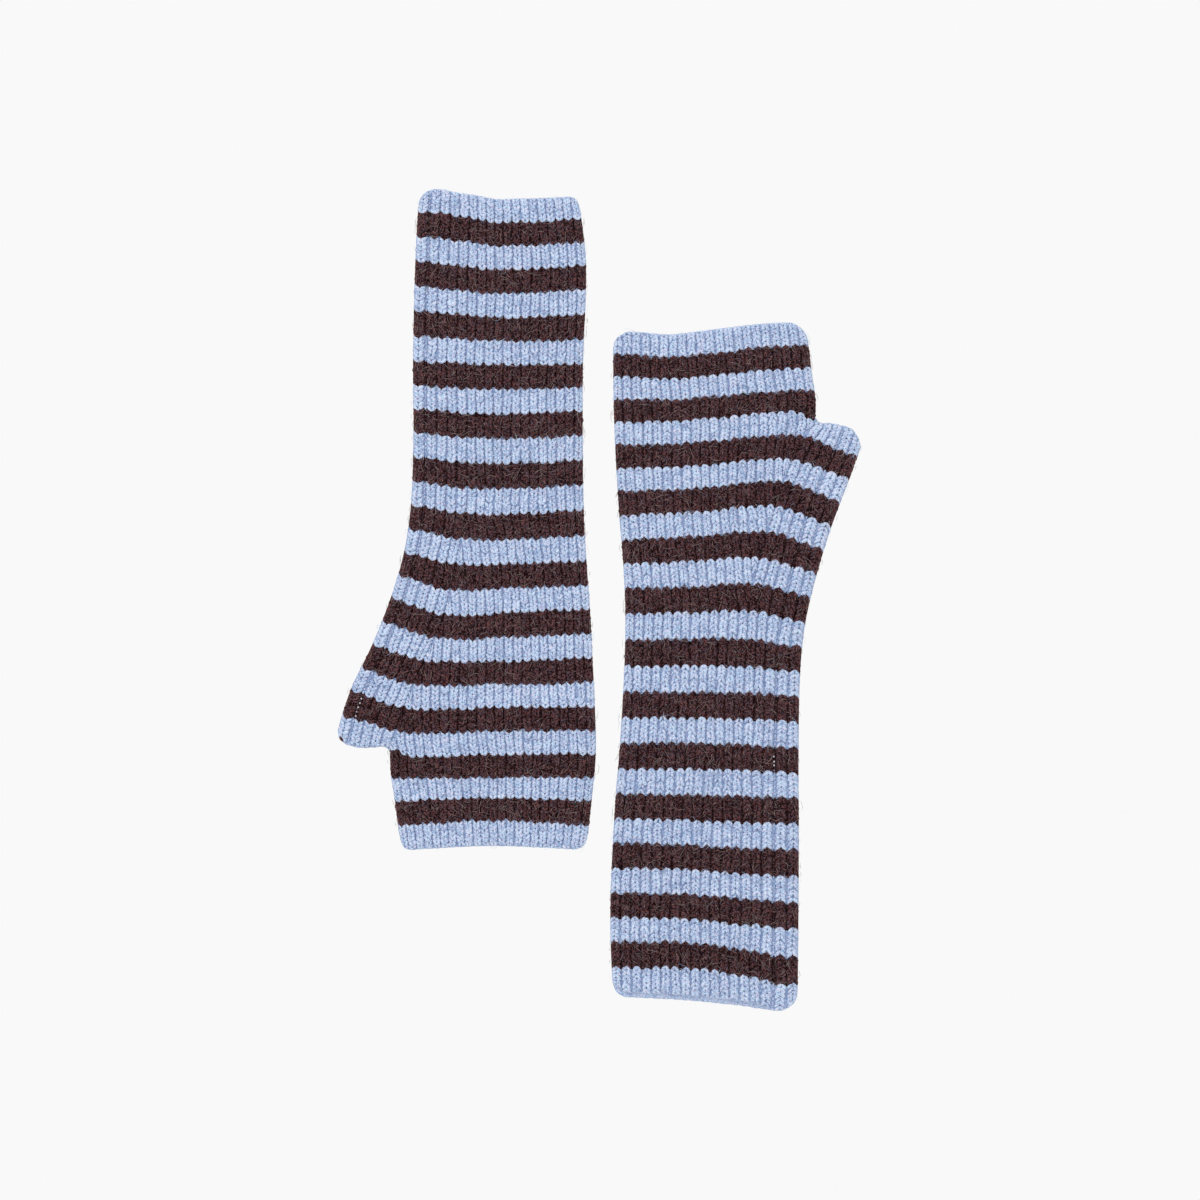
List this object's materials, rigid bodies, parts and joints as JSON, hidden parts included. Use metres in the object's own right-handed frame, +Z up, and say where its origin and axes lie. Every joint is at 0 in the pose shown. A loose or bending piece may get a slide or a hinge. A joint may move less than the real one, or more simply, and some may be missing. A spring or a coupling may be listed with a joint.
{
  "type": "pair of wrist warmers",
  "caption": "Striped rib-knit fingerless wrist warmers with thumb gussets, laid flat side by side, one turned end for end.",
  "frame": {"origin": "on the surface that the pair lies on, under the middle of the pair's bounding box", "axes": "+Z up out of the surface, +Y along the warmers towards the top of the layout (the right one's finger hem), +X to the right"},
  "size_m": [0.2254, 0.353, 0.0065],
  "materials": {
    "light_blue_yarn": "soft marled wool blend, matt",
    "dark_brown_yarn": "soft marled wool blend, matt, slightly hairy"
  },
  "bodies": {
    "root": {"left_upper_half": "light_blue_yarn", "left_lower_half": "light_blue_yarn", "right_upper_half": "light_blue_yarn", "right_lower_half": "light_blue_yarn"}
  },
  "joints": []
}
